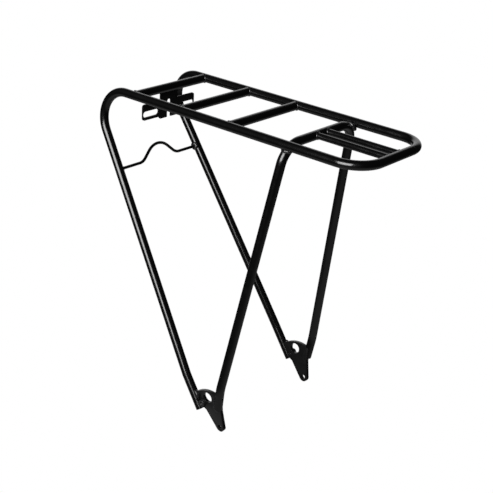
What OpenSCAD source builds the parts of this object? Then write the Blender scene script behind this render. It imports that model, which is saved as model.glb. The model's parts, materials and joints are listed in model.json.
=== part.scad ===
// Rear carrier for a bicycle: a welded frame of bent steel tube.
// X runs across the bicycle, Y towards its front, Z up.
// The origin is midway between the two frame eyelets, on their common axis.

/* [Tube] */
// Outside diameter of the deck tube, the leg hoop and the crossbars
tube_d = 10; // [9:0.5:11]
// Wall thickness of every tube
tube_wall = 1.2; // [1:0.1:1.5]
// Diameter of the crossbars
crossbar_d = 9.8; // [8:0.1:9.8]
// Diameter of the two rods in the rear of the deck
rod_d = 7; // [6:0.5:8]
// Diameter of the mudguard bridge wire
wire_d = 3.5; // [3:0.5:5]

/* [Deck] */
// Distance between the axes of the two side rails
deck_w = 114.8; // [110:0.2:120]
// Height of the rail axes above the eyelets
deck_h = 344.6; // [338:0.2:350]
// How far the side rails' front corners lie ahead of the eyelets
deck_front = 238.2; // [232:0.2:244]
// How far the rear loop's axis lies behind the eyelets
deck_rear = 140.6; // [134:0.2:146]
// Bend radius at the front corners
front_bend_r = 32.2; // [27:0.2:35]
// Bend radius at the corners of the rear loop
loop_bend_r = 30.2; // [26:0.2:36]
// Position of the rearmost crossbar
crossbar_y = 27.9; // [24:0.1:31]
// Distance from one crossbar to the next
crossbar_pitch = 69.2; // [66:0.1:70]
// Distance between the two rear rods
rod_gap = 18; // [16:1:24]

/* [Legs] */
// Half the spacing of the front legs at their ankles
front_ankle_x = 80.5; // [79:0.1:83]
// How far the front legs' ankles lie ahead of the eyelets
front_ankle_y = 51.7; // [50:0.1:54]
// Height of the front legs' ankles
front_ankle_z = 48; // [44:1:56]
// Half the spacing of the front legs at their lower ends
front_foot_x = 81; // [80:0.1:82]
// How far the front legs' lower ends lie ahead of the eyelets
front_foot_y = 27.8; // [27:0.1:29]
// Height of the front legs' lower ends
front_foot_z = 13.3; // [12:0.1:15]
// Width of the rear leg hoop between its upper corners
hoop_w = 112.2; // [110:0.2:114]
// How far the hoop's top lies behind the eyelets
hoop_y = 47.8; // [44:0.2:52]
// How far the hoop's axis lies below the rails' axes
hoop_drop = 0.6; // [0.4:0.1:1]
// Bend radius at the hoop's upper corners
hoop_bend_r = 23; // [22:0.2:26]
// Half the spacing of the rear legs at their ankles
rear_ankle_x = 83.3; // [82:0.1:85]
// How far the rear legs' ankles lie ahead of the eyelets
rear_ankle_y = -2.4; // [-4:0.2:0]
// Height of the rear legs' ankles
rear_ankle_z = 52; // [50:1:60]
// Half the spacing of the rear legs at their lower ends
rear_foot_x = 81.2; // [80.5:0.1:82]
// How far the rear legs' lower ends lie ahead of the eyelets
rear_foot_y = 1.3; // [0:0.1:3]
// Height of the rear legs' lower ends
rear_foot_z = 25.8; // [24:0.2:27]
// Bend radius at the ankles
ankle_bend_r = 60; // [40:5:80]
// Diameter of the drain hole in each rear leg
drain_d = 3; // [2:0.5:4]

/* [Axle plates] */
// Half the distance between the middles of the two plates, at the eyelets
plate_x = 76.5; // [76:0.1:77]
// Angle that each plate leans outwards
plate_lean = 4.8; // [3.5:0.1:5.5]
// Thickness of each plate
plate_t = 4; // [3:0.5:4]
// Diameter of the frame eyelet
eyelet_d = 5.5; // [5:0.5:6]
// Radius of the rounded tip around the eyelet
tip_r = 5.8; // [5:0.2:6.4]
// Diameter of the hook hole
hook_hole_d = 12.6; // [10:0.2:13]
// Diameter of the threaded boss
boss_d = 8; // [7:0.5:9]
// Length of the threaded boss outside the plate
boss_len = 4; // [3:0.5:5]
// Bore of the threaded boss
boss_bore_d = 4.2; // [3.3:0.1:5]

/* [Mudguard bridge] */
// Height of the bridge's straight ends
bridge_z = 255.3; // [250:0.1:262]
// Half the width of the hump where it leaves the straight wire
hump_x = 27; // [25:0.5:30]
// Height of the hump's corner before it is rounded
hump_rise = 24.4; // [23:0.2:26]
// Angle that the hump leans forward
hump_lean = 14; // [4:1:24]

/* [Front bracket] */
// Thickness of the sheet
bracket_t = 1.8; // [1.2:0.1:2.4]
// Overall width across the two wings
bracket_w = 83; // [82:0.5:88]
// Height of the wings
wing_h = 18.5; // [17:0.5:20]
// Height of the wings' lower edge
wing_z = 311.2; // [308:0.2:314]
// Width of the tab that reaches up to the crossbar
tab_w = 27.4; // [22:0.2:30]
// Width of the slot in the middle
notch_w = 6; // [5:0.5:8]
// Distance between the middles of the two bolt slots
slot_pitch = 57.5; // [56:0.5:58]
// Length of a bolt slot, end to end
slot_len = 24; // [20:0.5:24]
// Height of a bolt slot
slot_h = 7; // [5.5:0.5:7.5]

/* [Welds] */
// How far a weld fillet spreads over the tube it joins
weld_w = 1.4; // [1:0.1:2]

/* [Hidden] */
$fn = 48;

paint = [0.06, 0.06, 0.065];
weld_paint = [0.1, 0.1, 0.105];

eps = 0.01;
bend_swell = 0.04;
bend_lap = 0.4;
tube_r = tube_d / 2;
rail_x = deck_w / 2;

// Corner points of the bent tubes, on their axes, for the side with x below 0
front_foot = [-front_foot_x, front_foot_y, front_foot_z];
front_ankle = [-front_ankle_x, front_ankle_y, front_ankle_z];
front_corner = [-rail_x, deck_front, deck_h];
loop_corner = [-rail_x, -deck_rear, deck_h];
rear_foot = [-rear_foot_x, rear_foot_y, rear_foot_z];
rear_ankle = [-rear_ankle_x, rear_ankle_y, rear_ankle_z];
hoop_corner = [-hoop_w / 2, -hoop_y, deck_h - hoop_drop];

deck_path = both_ways([front_foot, front_ankle, front_corner, loop_corner]);
deck_bends = there_and_back([0, ankle_bend_r, front_bend_r, loop_bend_r]);
hoop_path = both_ways([rear_foot, rear_ankle, hoop_corner]);
hoop_bends = there_and_back([0, ankle_bend_r, hoop_bend_r]);

crossbar_front_y = crossbar_y + 2 * crossbar_pitch;
crossbar_middle_y = crossbar_y + crossbar_pitch;

// The drain hole and the bridge end lie part of the way up a leg
drain_rise = 15.6;
bridge_end = point_at_height(front_ankle, front_corner, bridge_z);

// Bridge corners, seen in the plane of the wire: [across, up]
bridge_bend_r = 14;
hump_top_r = 22;
bridge_path = [
    bridge_end,
    bridge_point(-hump_x, 0),
    bridge_point(0, hump_rise),
    bridge_point(hump_x, 0),
    across(bridge_end)
];
bridge_bends = [0, bridge_bend_r, hump_top_r, bridge_bend_r, 0];

// Axle plate outline in its own plane: [forward, up]
hook_hole = [18.1, 32.1];
boss_at = [24.4, 22.6];
crown_r = 36;
crown_at = [11.4, 5.8];
plate_outline = [
    [tip_r * 0.78, -tip_r * 0.63], [20, 14.5], [26, 17], [44, 44],
    [-1.5, 44], [-1.8, 22], [-tip_r, 0]
];

// Front bracket: its rear face, the corners of the wings and the middle lobe
bracket_y = crossbar_front_y + 2.4;
wing_corner_r = 3;
lobe_w = 27;
lobe_drop = 2.8;
lobe_chamfer = 3;
slot_z = wing_z + 6.8;
notch_top = wing_z + wing_h;

// Width of the weld between a rail and the hoop's bend
web_d = 9.6;

function across(p) = [-p[0], p[1], p[2]];
function there_and_back(list) = [each list, for (i = [len(list) - 1 : -1 : 0]) list[i]];

// A path from one foot to the middle, carried on to the other foot
function both_ways(path) = [each path, for (i = [len(path) - 1 : -1 : 0]) across(path[i])];
function unit(v) = v / norm(v);
function bridge_point(x, up) =
    [x, bridge_end[1] + up * sin(hump_lean), bridge_end[2] + up * cos(hump_lean)];
function point_at_height(p, q, z) = p + (q - p) * (z - p[2]) / (q[2] - p[2]);

// Half the angle between the two straights that meet at corner i of a path
function half_angle(path, i) =
    acos(unit(path[i - 1] - path[i]) * unit(path[i + 1] - path[i])) / 2;

// Distance from corner i to where its bend starts; 0 at the ends of the path
function set_back(path, bends, i) =
    bends[i] == 0 ? 0 : bends[i] / tan(half_angle(path, i));

// Places its children at p with their Z axis pointing at q
module aimed(p, q) {
    d = q - p;
    translate(p)
        rotate([0, acos(d[2] / norm(d)), atan2(d[1], d[0])])
            children();
}

module rod(p, q, d) {
    aimed(p, q) cylinder(d = d, h = norm(q - p));
}

// The bend at corner i of a path; it is a hair thicker than the straights that
// run into it, so that no two faces of the tube coincide
module bend(path, bends, i, d) {
    back = unit(path[i - 1] - path[i]);
    on = unit(path[i + 1] - path[i]);
    half = half_angle(path, i);
    centre = path[i] + unit(back + on) * bends[i] / sin(half);
    out = unit(path[i] + back * set_back(path, bends, i) - centre);
    axis = unit(cross(on, back));
    side = cross(axis, out);
    multmatrix([
        [out[0], side[0], axis[0], centre[0]],
        [out[1], side[1], axis[1], centre[1]],
        [out[2], side[2], axis[2], centre[2]],
        [0, 0, 0, 1]
    ])
        rotate_extrude(angle = 180 - 2 * half, $fn = 96)
            translate([bends[i], 0]) circle(d = d + bend_swell, $fn = 48);
}

// A solid bar bent along a path; the straights run a little way into the bends
module bent_bar(path, bends, d) {
    last = len(path) - 1;
    for (i = [0 : last - 1]) {
        dir = unit(path[i + 1] - path[i]);
        from = bends[i] == 0 ? 0 : set_back(path, bends, i) - bend_lap;
        to = bends[i + 1] == 0 ? 0 : set_back(path, bends, i + 1) - bend_lap;
        rod(path[i] + dir * from, path[i + 1] - dir * to, d);
    }
    for (i = [1 : last - 1])
        bend(path, bends, i, d);
}

// The same path with both ends carried on by a distance
function stretched(path, by) =
    let (last = len(path) - 1)
    [
        for (i = [0 : last])
            i == 0 ? path[0] + unit(path[0] - path[1]) * by
            : i == last ? path[last] + unit(path[last] - path[last - 1]) * by
            : path[i]
    ];

module bent_tube(path, bends, d, wall) {
    difference() {
        bent_bar(path, bends, d);
        bent_bar(stretched(path, 1), bends, d - 2 * wall);
    }
}

// Both side rails as solid bars, used to cope what meets them
module rails() {
    rod(front_corner, loop_corner, tube_d);
    rod(across(front_corner), across(loop_corner), tube_d);
}

// The front legs as solid bars, from their feet to the deck's front corners
module front_legs() {
    path = [front_foot, front_ankle, front_corner];
    bends = [0, ankle_bend_r, 0];
    bent_bar(path, bends, tube_d);
    mirror([1, 0, 0]) bent_bar(path, bends, tube_d);
}

// Below its ankle each leg is one straight bar
module front_feet() {
    rod(front_foot, front_ankle, tube_d);
    rod(across(front_foot), across(front_ankle), tube_d);
}

module rear_feet() {
    rod(rear_foot, rear_ankle, tube_d);
    rod(across(rear_foot), across(rear_ankle), tube_d);
}

module hoop_top() {
    rod(hoop_corner, across(hoop_corner), tube_d);
}

module loop_end() {
    rod(loop_corner, across(loop_corner), tube_d);
}

module deck_tube() {
    color(paint)
        bent_tube(deck_path, deck_bends, tube_d, tube_wall);
}

module leg_hoop() {
    drain = point_at_height(rear_foot, rear_ankle, rear_foot_z + drain_rise);
    color(paint)
        difference() {
            bent_tube(hoop_path, hoop_bends, tube_d, tube_wall);
            for (p = [drain, across(drain)])
                translate(p) rotate([90, 0, 0]) cylinder(d = drain_d, h = tube_d);
            for (s = [-1, 1])
                leaned(s) stood_up(plate_t / 2 - 2 * plate_t) plate_blank(2 * plate_t);
            rails();
        }
}

module crossbar(y) {
    ends = [-rail_x, y, deck_h];
    color(paint)
        difference() {
            rod(ends, across(ends), crossbar_d);
            rod(across(ends) * 2 - ends, ends * 2 - across(ends), crossbar_d - 2 * tube_wall);
            rails();
        }
}

module crossbar_front() {
    crossbar(crossbar_front_y);
}

module crossbar_middle() {
    crossbar(crossbar_middle_y);
}

module crossbar_rear() {
    crossbar(crossbar_y);
}

module rear_rod(side) {
    x = side * rod_gap / 2;
    color(paint)
        difference() {
            rod([x, -hoop_y, deck_h], [x, -deck_rear, deck_h], rod_d);
            hoop_top();
            loop_end();
        }
}

module rear_rod_left() {
    rear_rod(-1);
}

module rear_rod_right() {
    rear_rod(1);
}

// A bolt slot across the sheet, drawn in the sheet's plane
module slot_2d(length, height) {
    for (s = [-1, 1])
        translate([s * (length - height) / 2, 0]) circle(d = height);
    square([length - height, height], center = true);
}

// The two wings as one plate with rounded ends
module wings_2d() {
    half = bracket_w / 2 - wing_corner_r;
    for (s = [-1, 1], z = [wing_corner_r, wing_h - wing_corner_r])
        translate([s * half, z]) circle(r = wing_corner_r);
    translate([-half, 0]) square([2 * half, wing_h]);
    translate([-bracket_w / 2, wing_corner_r]) square([bracket_w, wing_h - 2 * wing_corner_r]);
}

module bracket_2d() {
    difference() {
        union() {
            wings_2d();
            translate([-tab_w / 2, wing_h - eps]) square([tab_w, deck_h - wing_z - wing_h]);
            polygon([
                [-lobe_w / 2 - lobe_chamfer, eps], [-lobe_w / 2, -lobe_drop],
                [lobe_w / 2, -lobe_drop], [lobe_w / 2 + lobe_chamfer, eps]
            ]);
        }
        translate([-notch_w / 2, -lobe_drop - 1])
            square([notch_w, notch_top - wing_z - notch_w / 2 + lobe_drop + 1]);
        translate([0, notch_top - wing_z - notch_w / 2]) circle(d = notch_w);
        for (s = [-1, 1])
            translate([s * slot_pitch / 2, slot_z - wing_z]) slot_2d(slot_len, slot_h);
    }
}

module front_bracket() {
    color(paint)
        difference() {
            translate([0, bracket_y + bracket_t, wing_z])
                rotate([90, 0, 0])
                    linear_extrude(bracket_t) bracket_2d();
            rod([-tab_w, crossbar_front_y, deck_h], [tab_w, crossbar_front_y, deck_h], tube_d);
        }
}

module mudguard_bridge() {
    color(paint)
        difference() {
            bent_bar(bridge_path, bridge_bends, wire_d);
            front_legs();
        }
}

// The plate without its holes; [forward, up] in the sheet's plane
module plate_blank(thickness) {
    intersection() {
        linear_extrude(thickness) polygon(plate_outline);
        translate([crown_at[0], crown_at[1], -1])
            cylinder(r = crown_r, h = thickness + 2, $fn = 96);
    }
    cylinder(r = tip_r, h = thickness);
}

// Turns a sheet drawn flat into one that stands across X, from x to x + thickness
module stood_up(x) {
    translate([x, 0, 0])
        rotate([90, 0, 90])
            children();
}

// Places what is drawn about the middle of an upright plate on the leaning one
module leaned(side) {
    mirror([side < 0 ? 1 : 0, 0, 0])
        translate([plate_x, 0, 0])
            rotate([0, plate_lean, 0])
                children();
}

// A hole drilled straight across the bicycle, through both plates
module drilled(at, d) {
    rod([-plate_x * 2, at[0], at[1]], [plate_x * 2, at[0], at[1]], d);
}

module axle_plate(side) {
    color(paint)
        difference() {
            leaned(side) stood_up(-plate_t / 2) plate_blank(plate_t);
            drilled([0, 0], eyelet_d);
            drilled(hook_hole, hook_hole_d);
            drilled(boss_at, boss_bore_d);
            front_feet();
        }
}

module axle_plate_left() {
    axle_plate(-1);
}

module axle_plate_right() {
    axle_plate(1);
}

module threaded_boss(side) {
    root = plate_x + boss_at[1] * tan(plate_lean);
    color(paint)
        difference() {
            rod(
                [side * root, boss_at[0], boss_at[1]],
                [side * (root + plate_t / 2 + boss_len), boss_at[0], boss_at[1]],
                boss_d
            );
            drilled(boss_at, boss_bore_d);
            leaned(side) stood_up(-plate_t) plate_blank(plate_t * 1.5);
            front_feet();
        }
}

module threaded_boss_left() {
    threaded_boss(-1);
}

module threaded_boss_right() {
    threaded_boss(1);
}

// A cone of weld around a bar of diameter d that leaves the surface of a tube
// at p, heading for q; it starts inside the tube and is trimmed by the caller
module fillet_cone(p, q, d, spread = weld_w) {
    start = tube_r * 0.8;
    reach = tube_r - start + spread;
    aimed(p, q)
        translate([0, 0, start])
            cylinder(d1 = d + 2 * reach, d2 = d, h = reach);
}

module crossbar_welds() {
    color(weld_paint)
        difference() {
            for (y = [crossbar_front_y, crossbar_middle_y, crossbar_y], s = [-1, 1])
                fillet_cone([s * rail_x, y, deck_h], [0, y, deck_h], crossbar_d);
            for (y = [crossbar_front_y, crossbar_middle_y, crossbar_y])
                rod([-rail_x, y, deck_h], [rail_x, y, deck_h], crossbar_d);
            rails();
        }
}

module rear_rod_welds() {
    color(weld_paint)
        difference() {
            for (s = [-1, 1]) {
                x = s * rod_gap / 2;
                fillet_cone([x, -hoop_y, deck_h], [x, -deck_rear, deck_h], rod_d);
                fillet_cone([x, -deck_rear, deck_h], [x, -hoop_y, deck_h], rod_d);
            }
            for (s = [-1, 1])
                rod(
                    [s * rod_gap / 2, -hoop_y, deck_h],
                    [s * rod_gap / 2, -deck_rear, deck_h],
                    rod_d
                );
            hoop_top();
            loop_end();
        }
}

// Weld in the gap between each rail and the bend of the hoop that passes under it
module hoop_welds() {
    corner = hoop_path[2];
    back = unit(hoop_path[1] - corner);
    on = unit(hoop_path[3] - corner);
    centre = corner + unit(back + on) * hoop_bend_r / sin(half_angle(hoop_path, 2));
    rail = [-rail_x, -hoop_y, deck_h];
    inward = unit([centre[0] - rail[0], 0, centre[2] - rail[2]]);
    color(weld_paint)
        difference() {
            for (s = [0, 1])
                mirror([s, 0, 0])
                    rod(rail + inward * tube_r * 0.4, rail + inward * tube_r * 1.7, web_d);
            rails($fn = 96);
            for (s = [0, 1])
                mirror([s, 0, 0]) bend(hoop_path, hoop_bends, 2, tube_d);
        }
}

module bridge_welds() {
    end = bridge_end;
    inward = bridge_point(-hump_x, 0);
    color(weld_paint)
        difference() {
            for (s = [0, 1])
                mirror([s, 0, 0]) fillet_cone(end, inward, wire_d, 2.5);
            bent_bar(bridge_path, bridge_bends, wire_d);
            front_legs();
        }
}

// A fillet along each face of the bracket's tab, under the front crossbar
module bracket_welds() {
    bead_r = 2;
    z = deck_h - tube_r + 0.2;
    color(weld_paint)
        difference() {
            for (y = [bracket_y, bracket_y + bracket_t])
                rod([-tab_w / 2 + 1, y, z], [tab_w / 2 - 1, y, z], 2 * bead_r);
            translate([-tab_w, bracket_y, 0]) cube([2 * tab_w, bracket_t, deck_h]);
            rod([-tab_w, crossbar_front_y, deck_h], [tab_w, crossbar_front_y, deck_h], tube_d);
        }
}

// Beads where the two legs of one side meet the axle plate
module plate_welds(side) {
    bead_d = 3;
    face = plate_t / 2;
    color(weld_paint)
        difference() {
            leaned(side) {
                rod([face + 0.6, 31.2, 27.4], [face + 0.6, 35.4, 33.6], bead_d + 1);
                rod([face, 6.2, 25.2], [face, 3.6, 40], bead_d);
                rod([face, -1.6, 24.4], [face, 6.8, 25.6], bead_d - 0.4);
            }
            leaned(side) stood_up(-plate_t) plate_blank(plate_t * 1.5);
            front_feet();
            rear_feet();
        }
}

module plate_welds_left() {
    plate_welds(-1);
}

module plate_welds_right() {
    plate_welds(1);
}

deck_tube();
leg_hoop();
crossbar_front();
crossbar_middle();
crossbar_rear();
rear_rod_left();
rear_rod_right();
front_bracket();
mudguard_bridge();
axle_plate_left();
axle_plate_right();
threaded_boss_left();
threaded_boss_right();
crossbar_welds();
rear_rod_welds();
hoop_welds();
bridge_welds();
bracket_welds();
plate_welds_left();
plate_welds_right();
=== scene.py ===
"""Looks of the bicycle rear carrier.

Glossy black paint, rippled weld beads, softened sheet edges, threaded bosses and a pale studio.
"""

import json
import math

import bmesh
import bpy
from mathutils import Matrix, Vector, noise


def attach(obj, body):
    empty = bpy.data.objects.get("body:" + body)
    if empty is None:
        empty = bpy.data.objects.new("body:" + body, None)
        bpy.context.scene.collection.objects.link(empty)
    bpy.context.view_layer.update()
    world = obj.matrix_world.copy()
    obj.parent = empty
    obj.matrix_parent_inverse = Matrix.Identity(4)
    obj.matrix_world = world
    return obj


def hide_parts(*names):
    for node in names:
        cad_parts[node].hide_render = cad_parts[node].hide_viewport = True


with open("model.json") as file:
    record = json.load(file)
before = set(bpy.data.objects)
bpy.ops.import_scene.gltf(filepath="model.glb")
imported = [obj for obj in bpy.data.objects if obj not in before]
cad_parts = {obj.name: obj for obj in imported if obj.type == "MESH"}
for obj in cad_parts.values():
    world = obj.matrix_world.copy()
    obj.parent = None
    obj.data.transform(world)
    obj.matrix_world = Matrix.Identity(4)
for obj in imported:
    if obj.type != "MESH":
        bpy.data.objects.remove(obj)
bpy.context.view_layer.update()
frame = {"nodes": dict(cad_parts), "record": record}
NODES = frame["nodes"]
MM = 0.001

# Sizes of the carrier, in millimetres, as in its CAD source
TUBE_R = 5.0
CROSSBAR_R = 4.9
ROD_R = 3.5
WIRE_R = 1.75
RAIL_X = 57.4
DECK_Z = 344.6
HOOP_Y, HOOP_Z = -47.8, 344.0
LOOP_Y = -140.6
CROSSBAR_Y = (27.9, 97.1, 166.3)
ROD_X = 9.0
BRACKET_Y, BRACKET_T = 168.7, 1.8
TAB_HALF = 13.7
FRONT_ANKLE = Vector((-80.5, 51.7, 48.0))
FRONT_CORNER = Vector((-57.4, 238.2, 344.6))
PLATE_X, PLATE_T, PLATE_LEAN = 76.5, 4.0, math.radians(4.8)
BOSS_AT, BOSS_BORE_R, BOSS_END_X = (24.4, 22.6), 2.1, 84.4
WIRE_Z = 255.3

# Radii of the beads, in millimetres, and how far they sink in or stand off
CROSSBAR_BEAD_R, CROSSBAR_BEAD_SINK = 1.2, 0.4
ROD_BEAD_R = 0.95
WIRE_BEAD_R = 1.1
WIRE_BLOB_R, WIRE_BLOB_SPREAD = 2.1, 1.1
HOOP_BEAD_R, HOOP_BEAD_STAND = 2.1, 0.9
BRACKET_BEAD_R, BRACKET_BEAD_BACK, BRACKET_BEAD_INSET = 1.6, 0.4, 0.8
FRONT_BEAD_R, FRONT_BEAD_STAND, FRONT_BEAD_BOW = 2.5, 0.8, 0.2
REAR_BEAD_R, REAR_END_BEAD_R, REAR_BEAD_STAND = 1.7, 1.8, 0.5

# Ends of the beads on a plate, as y and the distance up the leaning plate
FRONT_BEAD_LOW, FRONT_BEAD_HIGH = (30.6, 26.6), (36.0, 35.0)
REAR_BEAD_CORNER, REAR_BEAD_TOP, REAR_BEAD_END = (7.4, 23.6), (5.4, 37.0), (0.2, 22.0)

# The ring of bead where a rail rests on the hoop: its half sizes, the reach over which the tubes'
# roundness is followed, the share of it that is followed, the way in (across, down), and its steps
HOOP_RING_ALONG, HOOP_RING_ACROSS, HOOP_RING_REACH = 5.6, 4.6, 4.5
HOOP_RING_FOLLOW, HOOP_RING_IN, HOOP_RING_STEPS = 0.42, (0.74, 0.67), 160

# Ripples and lumps along a bead, as shares of its radius, and lengths in millimetres
RIPPLE_PITCH, RIPPLE_STEPS = 1.6, 6
RIPPLE_BASE, RIPPLE_HEIGHT, RIPPLE_FALL = 0.92, 0.13, 0.85
LUMP_HEIGHT, LUMPS_PER_MM = 0.10, 0.45
END_TAPER, END_LEAST = 1.1, 0.02
WANDER = 0.18

# Rounding of sheet edges, in millimetres, and the angles, in degrees, that decide what is an edge
BRACKET_EDGE, PLATE_EDGE, BOSS_EDGE = 0.35, 0.45, 0.4
MERGE_WITHIN, FLAT_UNDER, SHARP_OVER, SHADE_SHARP_OVER = 0.02, 1.0, 50, 32

# The thread in a boss's bore, in millimetres
THREAD_PITCH, THREAD_DEPTH, THREAD_TURNS, THREAD_STEPS = 0.8, 0.22, 9, 28
THREAD_HALF, THREAD_BURIED = 0.3, 0.02


# ---------------------------------------------------------------- materials


BLUE_TINT = 1.04


class Shader:
    """A small helper that adds nodes to one material and links them."""

    def __init__(self, name):
        self.material = bpy.data.materials.new(name)
        self.material.use_nodes = True
        self.tree = self.material.node_tree
        self.bsdf = self.tree.nodes["Principled BSDF"]
        self.where = self.add("ShaderNodeTexCoord").outputs["Object"]

    def add(self, kind, **values):
        node = self.tree.nodes.new(kind)
        for key, value in values.items():
            setattr(node, key, value)
        return node

    def link(self, source, target):
        self.tree.links.new(source, target)

    def noise(self, scale, detail=2.0, roughness=0.5, distortion=0.0):
        node = self.add("ShaderNodeTexNoise")
        self.link(self.where, node.inputs["Vector"])
        for key, value in (
            ("Scale", scale),
            ("Detail", detail),
            ("Roughness", roughness),
            ("Distortion", distortion),
        ):
            node.inputs[key].default_value = value
        return node.outputs["Fac"]

    def spread(self, value, low, high, start=0.3, end=0.7):
        node = self.add("ShaderNodeMapRange")
        self.link(value, node.inputs["Value"])
        for key, number in (
            ("From Min", start),
            ("From Max", end),
            ("To Min", low),
            ("To Max", high),
        ):
            node.inputs[key].default_value = number
        return node.outputs["Result"]

    def ramp(self, value, stops):
        node = self.add("ShaderNodeValToRGB")
        self.link(value, node.inputs["Fac"])
        elements = node.color_ramp.elements
        while len(elements) < len(stops):
            elements.new(0.5)
        for element, (place, grey) in zip(elements, stops):
            element.position = place
            element.color = (grey, grey, grey * BLUE_TINT, 1)
        return node.outputs["Color"]

    def bump(self, height, distance, strength, below=None):
        node = self.add("ShaderNodeBump")
        node.inputs["Distance"].default_value = distance
        node.inputs["Strength"].default_value = strength
        self.link(height, node.inputs["Height"])
        if below is not None:
            self.link(below, node.inputs["Normal"])
        return node.outputs["Normal"]


# Scales of the paint's patterns, in repeats per metre, and heights of its bumps in metres
CLOUD_SCALE, GLOSS_SCALE = 38.0, 95.0
PEEL_SCALE, PEEL_HEIGHT = 420.0, 0.00005
WAVE_SCALE, WAVE_HEIGHT = 120.0, 0.0001
LUMP_SCALE, LUMP_BUMP = 1500.0, 0.00012


def black_paint(name, grey, rough_low, rough_high, peel, lumps=0.0):
    """Stoved black paint: faint clouds, orange peel and a gloss that varies from place to place."""
    s = Shader(name)
    clouds = s.noise(CLOUD_SCALE, 3.0, 0.55)
    s.link(
        s.ramp(clouds, ((0.25, grey * 0.7), (0.55, grey), (0.8, grey * 1.35))),
        s.bsdf.inputs["Base Color"],
    )
    s.link(
        s.spread(s.noise(GLOSS_SCALE, 4.0, 0.6, 0.4), rough_low, rough_high),
        s.bsdf.inputs["Roughness"],
    )
    s.bsdf.inputs["IOR"].default_value = 1.5
    s.bsdf.inputs["Coat Weight"].default_value = 0.25
    s.bsdf.inputs["Coat Roughness"].default_value = 0.06
    normal = s.bump(s.noise(PEEL_SCALE, 2.0, 0.5), PEEL_HEIGHT, peel)
    normal = s.bump(s.noise(WAVE_SCALE, 1.0, 0.4), WAVE_HEIGHT, peel, normal)
    if lumps:
        normal = s.bump(s.noise(LUMP_SCALE, 3.0, 0.6), LUMP_BUMP, lumps, normal)
    s.link(normal, s.bsdf.inputs["Normal"])
    return s.material


# Grey, least and greatest roughness, strength of the orange peel and of the lumps
PAINT = black_paint("gloss_black", 0.0015, 0.17, 0.26, 0.05)
SHEET_PAINT = black_paint("sheet_black", 0.0035, 0.28, 0.38, 0.10)
# The boss's grey is lighter than the tubes' although it is the same black paint: painted highlight,
# so the boss reads as lit
BOSS_SHEEN_PAINT = black_paint("boss_black_painted_sheen", 0.018, 0.18, 0.3, 0.08)
# The beads' grey is lighter than the tubes' although they carry the same black paint: painted
# highlight, so the beads read as lighter glint lines
WELD_SHEEN_PAINT = black_paint("weld_black_painted_sheen", 0.010, 0.16, 0.28, 0.08, 0.12)
LOOKS = {
    "paint": PAINT,
    "sheet_paint": SHEET_PAINT,
    "boss_paint": BOSS_SHEEN_PAINT,
    "weld_paint": WELD_SHEEN_PAINT,
}


def dress(obj, slot):
    obj.data.materials.clear()
    obj.data.materials.append(LOOKS[slot])


for part in frame["record"]["subparts"]:
    dress(NODES[part["node"]], part["material_slot"])


# ------------------------------------------------------------------- pieces


def new_piece(name, bm, slot, nodes):
    """Makes a mesh object from bm that stands for CAD nodes."""
    mesh = bpy.data.meshes.new(name)
    bm.to_mesh(mesh)
    bm.free()
    piece = bpy.data.objects.new(name, mesh)
    bpy.context.scene.collection.objects.link(piece)
    dress(piece, slot)
    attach(piece, "root")
    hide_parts(*nodes)
    return piece


def sweep(bm, points, outs, radii, closed, sides=14):
    """Sweeps a round section along points. outs gives each section's own sideways direction."""
    count = len(points)
    rings = []
    for i, (point, out, radius) in enumerate(zip(points, outs, radii)):
        before = points[i - 1] if i or closed else point
        after = points[(i + 1) % count] if closed or i + 1 < count else point
        along = (after - before).normalized()
        side = (out - along * out.dot(along)).normalized()
        up = along.cross(side)
        ring = []
        for k in range(sides):
            turn = 2 * math.pi * k / sides
            offset = side * math.cos(turn) + up * math.sin(turn)
            ring.append(bm.verts.new((point + offset * radius) * MM))
        rings.append(ring)
    for i in range(count if closed else count - 1):
        here, there = rings[i], rings[(i + 1) % count]
        for k in range(sides):
            m = (k + 1) % sides
            bm.faces.new((here[k], here[m], there[m], there[k])).smooth = True
    if not closed:
        for ring, point, way in ((rings[0], points[0], -1), (rings[-1], points[-1], 1)):
            tip = bm.verts.new(point * MM)
            for k in range(sides):
                pair = (ring[k], ring[(k + 1) % sides])
                bm.faces.new((*(pair if way > 0 else pair[::-1]), tip)).smooth = True


def rippled(points, radius, closed, seed):
    """Radii along a bead, scalloped where the welder paused, with small uneven lumps."""
    radii, run = [], 0.0
    total = sum((b - a).length for a, b in zip(points, points[1:]))
    for i, point in enumerate(points):
        if i:
            run += (point - points[i - 1]).length
        phase = (run / RIPPLE_PITCH) % 1.0
        scale = RIPPLE_BASE + RIPPLE_HEIGHT * math.sqrt(1 - phase * RIPPLE_FALL)
        lump = LUMP_HEIGHT * noise.noise(Vector((run * LUMPS_PER_MM, seed * 7.3, 1.7)))
        if not closed:
            end = min(run, total - run) / (radius * END_TAPER)
            scale *= math.sqrt(max(END_LEAST, 1 - max(0.0, 1 - end) ** 2))
        radii.append(radius * (scale + lump))
    return radii


def saddle(axis_point, axis, start, way, r_main, r_branch):
    """The closed line where a branch tube meets a main tube's surface, with outward directions."""
    way, axis = way.normalized(), axis.normalized()
    e1 = axis - way * axis.dot(way)
    e1.normalize()
    e2 = way.cross(e1)
    u = way - axis * way.dot(axis)
    a = u.dot(u)
    points, outs = [], []
    count = max(60, int(2 * math.pi * r_branch / RIPPLE_PITCH * RIPPLE_STEPS))
    for i in range(count):
        turn = 2 * math.pi * i / count
        q = e1 * math.cos(turn) + e2 * math.sin(turn)
        p = start - axis_point + q * r_branch
        flat = p - axis * p.dot(axis)
        b = 2 * flat.dot(u)
        c = flat.dot(flat) - r_main * r_main
        root = math.sqrt(max(0.0, b * b - 4 * a * c))
        points.append(start + q * r_branch + way * ((root - b) / (2 * a)))
        outs.append(q)
    return points, outs


def ring_bead(bm, radius, seed, *joint):
    points, outs = saddle(*joint)
    sweep(bm, points, outs, rippled(points, radius, True, seed), True)


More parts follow.
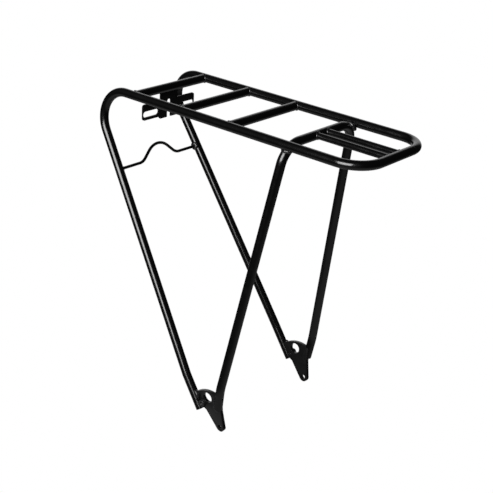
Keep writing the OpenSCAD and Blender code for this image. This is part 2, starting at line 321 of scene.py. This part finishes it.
def line_bead(bm, start, end, out, radius, seed, bow=0.0):
    """An open bead from start to end that bows a little towards out."""
    count = max(12, int((end - start).length / RIPPLE_PITCH * RIPPLE_STEPS))
    points = []
    for i in range(count + 1):
        t = i / count
        sway = WANDER * noise.noise(Vector((t * 5, seed * 3.1, 0.4)))
        points.append(start.lerp(end, t) + out * (bow * 4 * t * (1 - t) + sway))
    sweep(bm, points, [out] * len(points), rippled(points, radius, False, seed), False)


def mirrored(point):
    return Vector((-point.x, point.y, point.z))


X, Y, Z = Vector((1, 0, 0)), Vector((0, 1, 0)), Vector((0, 0, 1))
SIDES = (-1, 1)

# Crossbars on the rails
bm = bmesh.new()
for i, y in enumerate(CROSSBAR_Y):
    for side in SIDES:
        centre = Vector((side * RAIL_X, y, DECK_Z))
        joint = (centre, Y, centre, -X * side, TUBE_R, CROSSBAR_R - CROSSBAR_BEAD_SINK)
        ring_bead(bm, CROSSBAR_BEAD_R, 3 * i + side, *joint)
new_piece("crossbar_beads", bm, "weld_paint", ["crossbar_welds"])

# The two rods, at the hoop and at the rear loop
bm = bmesh.new()
for side in SIDES:
    for y, z, way in ((HOOP_Y, HOOP_Z, -Y), (LOOP_Y, DECK_Z, Y)):
        start = Vector((side * ROD_X, y, DECK_Z))
        main = Vector((side * ROD_X, y, z))
        joint = (main, X, start, way, TUBE_R, ROD_R)
        ring_bead(bm, ROD_BEAD_R, 11 + side + z * 0.1, *joint)
new_piece("rear_rod_beads", bm, "weld_paint", ["rear_rod_welds"])

# The wire on the front legs, with the larger blob on the right
bm = bmesh.new()
leg = (FRONT_CORNER - FRONT_ANKLE).normalized()
end = FRONT_ANKLE + leg * ((WIRE_Z - FRONT_ANKLE.z) / leg.z)
ring_bead(bm, WIRE_BEAD_R, 21, end, leg, end, X, TUBE_R, WIRE_R)
end, leg = mirrored(end), mirrored(leg)
ring_bead(bm, WIRE_BLOB_R, 22, end, leg, end, -X, TUBE_R, WIRE_R + WIRE_BLOB_SPREAD)
new_piece("bridge_beads", bm, "weld_paint", ["bridge_welds"])

# Round each place where a rail rests on the hoop's bend
bm = bmesh.new()
for side in SIDES:
    rail = Vector((side * RAIL_X, HOOP_Y, DECK_Z))
    inward = (-X * side * HOOP_RING_IN[0] - Z * HOOP_RING_IN[1]).normalized()
    across = Y.cross(inward)
    middle = rail + inward * (TUBE_R + HOOP_BEAD_STAND)
    points, outs = [], []
    for i in range(HOOP_RING_STEPS):
        turn = 2 * math.pi * i / HOOP_RING_STEPS
        reach_y = Y * (HOOP_RING_ALONG * math.cos(turn))
        reach = reach_y + across * (HOOP_RING_ACROSS * math.sin(turn))
        fall_rail = TUBE_R - math.sqrt(TUBE_R**2 - (HOOP_RING_REACH * math.sin(turn)) ** 2)
        fall_hoop = TUBE_R - math.sqrt(TUBE_R**2 - (HOOP_RING_REACH * math.cos(turn)) ** 2)
        points.append(middle + reach + inward * (fall_hoop - fall_rail) * HOOP_RING_FOLLOW)
        outs.append(reach.normalized())
    sweep(bm, points, outs, rippled(points, HOOP_BEAD_R, True, 31 + side), True)
new_piece("hoop_beads", bm, "weld_paint", ["hoop_welds"])

# Along both faces of the bracket's tab, under the front crossbar
bm = bmesh.new()
for seed, y in ((41, BRACKET_Y - BRACKET_BEAD_BACK), (42, BRACKET_Y + BRACKET_T)):
    dy = y - CROSSBAR_Y[2]
    z = DECK_Z - math.sqrt(CROSSBAR_R**2 - dy**2)
    reach = TAB_HALF - BRACKET_BEAD_INSET
    line_bead(bm, Vector((-reach, y, z)), Vector((reach, y, z)), Y, BRACKET_BEAD_R, seed)
new_piece("bracket_beads", bm, "weld_paint", ["bracket_welds"])


def on_plate(side, y, along, out):
    """A point at y, a distance along the leaning plate, and out from the middle of its sheet."""
    x = PLATE_X + along * math.sin(PLATE_LEAN) + out * math.cos(PLATE_LEAN)
    z = along * math.cos(PLATE_LEAN) - out * math.sin(PLATE_LEAN)
    return Vector((side * x, y, z))


# Where the two legs of each side end on its plate
for side, word in zip(SIDES, ("left", "right")):
    bm = bmesh.new()
    face = PLATE_T / 2
    out = X * side
    stand = face + FRONT_BEAD_STAND
    low_end = on_plate(side, *FRONT_BEAD_LOW, stand)
    high_end = on_plate(side, *FRONT_BEAD_HIGH, stand)
    line_bead(bm, low_end, high_end, out, FRONT_BEAD_R, 51 + side, FRONT_BEAD_BOW)
    stand = face + REAR_BEAD_STAND
    corner = on_plate(side, *REAR_BEAD_CORNER, stand)
    top, rear_end = on_plate(side, *REAR_BEAD_TOP, stand), on_plate(side, *REAR_BEAD_END, stand)
    line_bead(bm, corner, top, out, REAR_BEAD_R, 54 + side)
    line_bead(bm, rear_end, corner, out, REAR_END_BEAD_R, 57 + side)
    new_piece("plate_beads_" + word, bm, "weld_paint", ["plate_welds_" + word])


def softened(node, name, slot, width, extra=None):
    """A copy of a sheet node's mesh with its sharp edges rounded off by width, in millimetres."""
    bm = bmesh.new()
    bm.from_mesh(NODES[node].data)
    for layer in list(bm.loops.layers.float_vector.values()):
        bm.loops.layers.float_vector.remove(layer)
    bmesh.ops.remove_doubles(bm, verts=bm.verts, dist=MERGE_WITHIN * MM)
    bmesh.ops.dissolve_limit(
        bm, angle_limit=math.radians(FLAT_UNDER), verts=bm.verts, edges=bm.edges
    )
    sharp = [
        e for e in bm.edges
        if len(e.link_faces) == 2 and e.calc_face_angle(0) > math.radians(SHARP_OVER)
    ]
    bmesh.ops.bevel(
        bm, geom=sharp, offset=width * MM, segments=3, profile=0.5,
        affect="EDGES", clamp_overlap=True,
    )
    if extra is not None:
        extra(bm)
    bmesh.ops.triangulate(bm, faces=[f for f in bm.faces if len(f.verts) > 4])
    piece = new_piece(name, bm, slot, [node])
    for polygon in piece.data.polygons:
        polygon.use_smooth = True
    piece.data.set_sharp_from_angle(angle=math.radians(SHADE_SHARP_OVER))


softened("front_bracket", "bracket_sheet", "sheet_paint", BRACKET_EDGE)
softened("axle_plate_left", "plate_sheet_left", "sheet_paint", PLATE_EDGE)
softened("axle_plate_right", "plate_sheet_right", "sheet_paint", PLATE_EDGE)


def thread(side):
    """A helical ridge in the boss's bore."""

    def add(bm):
        start = BOSS_END_X - THREAD_HALF
        root, crest = BOSS_BORE_R + THREAD_BURIED, BOSS_BORE_R - THREAD_DEPTH
        section = ((-THREAD_HALF, root), (0, crest), (THREAD_HALF, root))
        lines = []
        for i in range(THREAD_TURNS * THREAD_STEPS + 1):
            turn = 2 * math.pi * i / THREAD_STEPS
            x = start - THREAD_PITCH * i / THREAD_STEPS
            row = []
            for dx, r in section:
                row.append(bm.verts.new(Vector((
                    side * (x + dx),
                    BOSS_AT[0] + r * math.cos(turn),
                    BOSS_AT[1] + r * math.sin(turn),
                )) * MM))
            lines.append(row)
        faces = [bm.faces.new(lines[0]), bm.faces.new(lines[-1])]
        for a, b in zip(lines, lines[1:]):
            for k in range(3):
                m = (k + 1) % 3
                faces.append(bm.faces.new((a[k], a[m], b[m], b[k])))
        bmesh.ops.recalc_face_normals(bm, faces=faces)

    return add


for side, word in zip(SIDES, ("left", "right")):
    softened("threaded_boss_" + word, "boss_" + word, "boss_paint", BOSS_EDGE, thread(side))


# ------------------------------------------------------------ stage, lights


def stage_object(name, bm, material):
    mesh = bpy.data.meshes.new(name)
    bm.to_mesh(mesh)
    bm.free()
    obj = bpy.data.objects.new(name, mesh)
    bpy.context.scene.collection.objects.link(obj)
    mesh.materials.append(material)
    return obj


def pale(name):
    """Plain white that gives off its own light."""
    material = bpy.data.materials.new(name)
    material.use_nodes = True
    tree = material.node_tree
    tree.nodes.clear()
    emission = tree.nodes.new("ShaderNodeEmission")
    emission.inputs["Color"].default_value = (1, 1, 1, 1)
    emission.inputs["Strength"].default_value = PALE_BRIGHTNESS
    output = tree.nodes.new("ShaderNodeOutputMaterial")
    tree.links.new(emission.outputs[0], output.inputs["Surface"])
    return material


FLOOR_Z = -8.0 * MM
FLOOR_R, BACKDROP_R = 14, 13.5
PALE_BRIGHTNESS = 1.0
bm = bmesh.new()
bmesh.ops.create_circle(bm, cap_ends=True, segments=64, radius=FLOOR_R)
floor = stage_object("floor", bm, pale("pale_floor"))
floor.location.z = FLOOR_Z
bm = bmesh.new()
bmesh.ops.create_uvsphere(bm, u_segments=48, v_segments=24, radius=BACKDROP_R)
backdrop = stage_object("backdrop", bm, pale("pale_backdrop"))
for obj in (floor, backdrop):
    # Only the camera sees them, so that the paint mirrors the lights and not the floor
    obj.visible_diffuse = False
    obj.visible_glossy = False
    obj.visible_transmission = False
    obj.visible_shadow = False

# Camera: angles, distance and target in metres, and the lens in millimetres
AZIMUTH, ELEVATION, ROLL = (math.radians(v) for v in (-50.5, 24.63, 3.40))
DISTANCE, TARGET = 1.1865, Vector((0, 0.0403, 0.1862))
LENS, SENSOR = 76.52, 36.0
FRAMING = 0.001  # how far the picture is shifted, as a share of its width
back = Vector(
    (
        math.sin(AZIMUTH) * math.cos(ELEVATION),
        -math.cos(AZIMUTH) * math.cos(ELEVATION),
        math.sin(ELEVATION),
    )
)
right = (-back).cross(Z).normalized()
up = right.cross(-back)
turned_right = right * math.cos(ROLL) + up * math.sin(ROLL)
turned_up = -right * math.sin(ROLL) + up * math.cos(ROLL)
camera_data = bpy.data.cameras.new("camera")
camera_data.lens = LENS
camera_data.sensor_width = SENSOR
camera_data.shift_x = -FRAMING
camera_data.shift_y = FRAMING
camera_data.clip_start, camera_data.clip_end = 0.05, 60
camera = bpy.data.objects.new("camera", camera_data)
bpy.context.scene.collection.objects.link(camera)
camera.matrix_world = Matrix.Translation(TARGET + back * DISTANCE) @ Matrix(
    (turned_right, turned_up, back)
).transposed().to_4x4()
bpy.context.scene.camera = camera


LIT_POINT = Vector((0, 0.04, 0.19))


def softbox(name, towards, distance, width, height, power):
    """A large soft lamp that stands from the carrier in direction towards, and faces it."""
    towards = Vector(towards).normalized()
    lamp = bpy.data.lights.new(name, "AREA")
    lamp.shape = "RECTANGLE"
    lamp.size, lamp.size_y = width, height
    lamp.energy = power
    obj = bpy.data.objects.new(name, lamp)
    bpy.context.scene.collection.objects.link(obj)
    obj.location = LIT_POINT + towards * distance
    side = Z.cross(towards).normalized()
    obj.matrix_world = Matrix.Translation(obj.location) @ Matrix(
        (side, towards.cross(side), towards)
    ).transposed().to_4x4()
    obj.visible_camera = False


softbox(
    "softbox_left", towards=(-0.93, -0.12, 0.44), distance=2.2, width=1.7, height=1.5, power=80
)

# The studio as the paint mirrors it: white behind the carrier, dark behind the camera
world = bpy.data.worlds.new("studio")
world.use_nodes = True
bpy.context.scene.world = world
tree = world.node_tree
tree.nodes.clear()


def world_node(kind, **values):
    made = tree.nodes.new(kind)
    for key, value in values.items():
        setattr(made, key, value)
    return made


direction = world_node("ShaderNodeTexCoord").outputs["Generated"]


def glow(towards, start, end, low, high):
    """Brightness that rises as a direction turns towards the given one."""
    dot = world_node("ShaderNodeVectorMath", operation="DOT_PRODUCT")
    tree.links.new(direction, dot.inputs[0])
    dot.inputs[1].default_value = Vector(towards).normalized()
    ramp = world_node("ShaderNodeMapRange", interpolation_type="SMOOTHSTEP")
    tree.links.new(dot.outputs["Value"], ramp.inputs["Value"])
    ramp.inputs["From Min"].default_value = start
    ramp.inputs["From Max"].default_value = end
    ramp.inputs["To Min"].default_value = low
    ramp.inputs["To Max"].default_value = high
    return ramp.outputs["Result"]


def plus(a, b):
    add = world_node("ShaderNodeMath", operation="ADD")
    tree.links.new(a, add.inputs[0])
    tree.links.new(b, add.inputs[1])
    return add.outputs[0]


# Each glow: its direction, where it starts and is full (as cosines), and its dark and full levels
ahead = glow((0.77, 0.63, 0.1), 0.78, 0.97, 0.015, 0.8)
left_above = glow((-0.6, 0.5, 0.62), 0.72, 0.98, 0.0, 0.04)
below = glow((0, 0, -1), 0.42, 0.75, 0.0, 0.2)
sky = plus(ahead, plus(left_above, below))
background = world_node("ShaderNodeBackground")
tree.links.new(sky, background.inputs["Strength"])
background.inputs["Color"].default_value = (1, 1, 1, 1)
out_node = world_node("ShaderNodeOutputWorld")
tree.links.new(background.outputs[0], out_node.inputs["Surface"])

bpy.context.scene.view_settings.view_transform = "Standard"
bpy.context.scene.view_settings.look = "None"
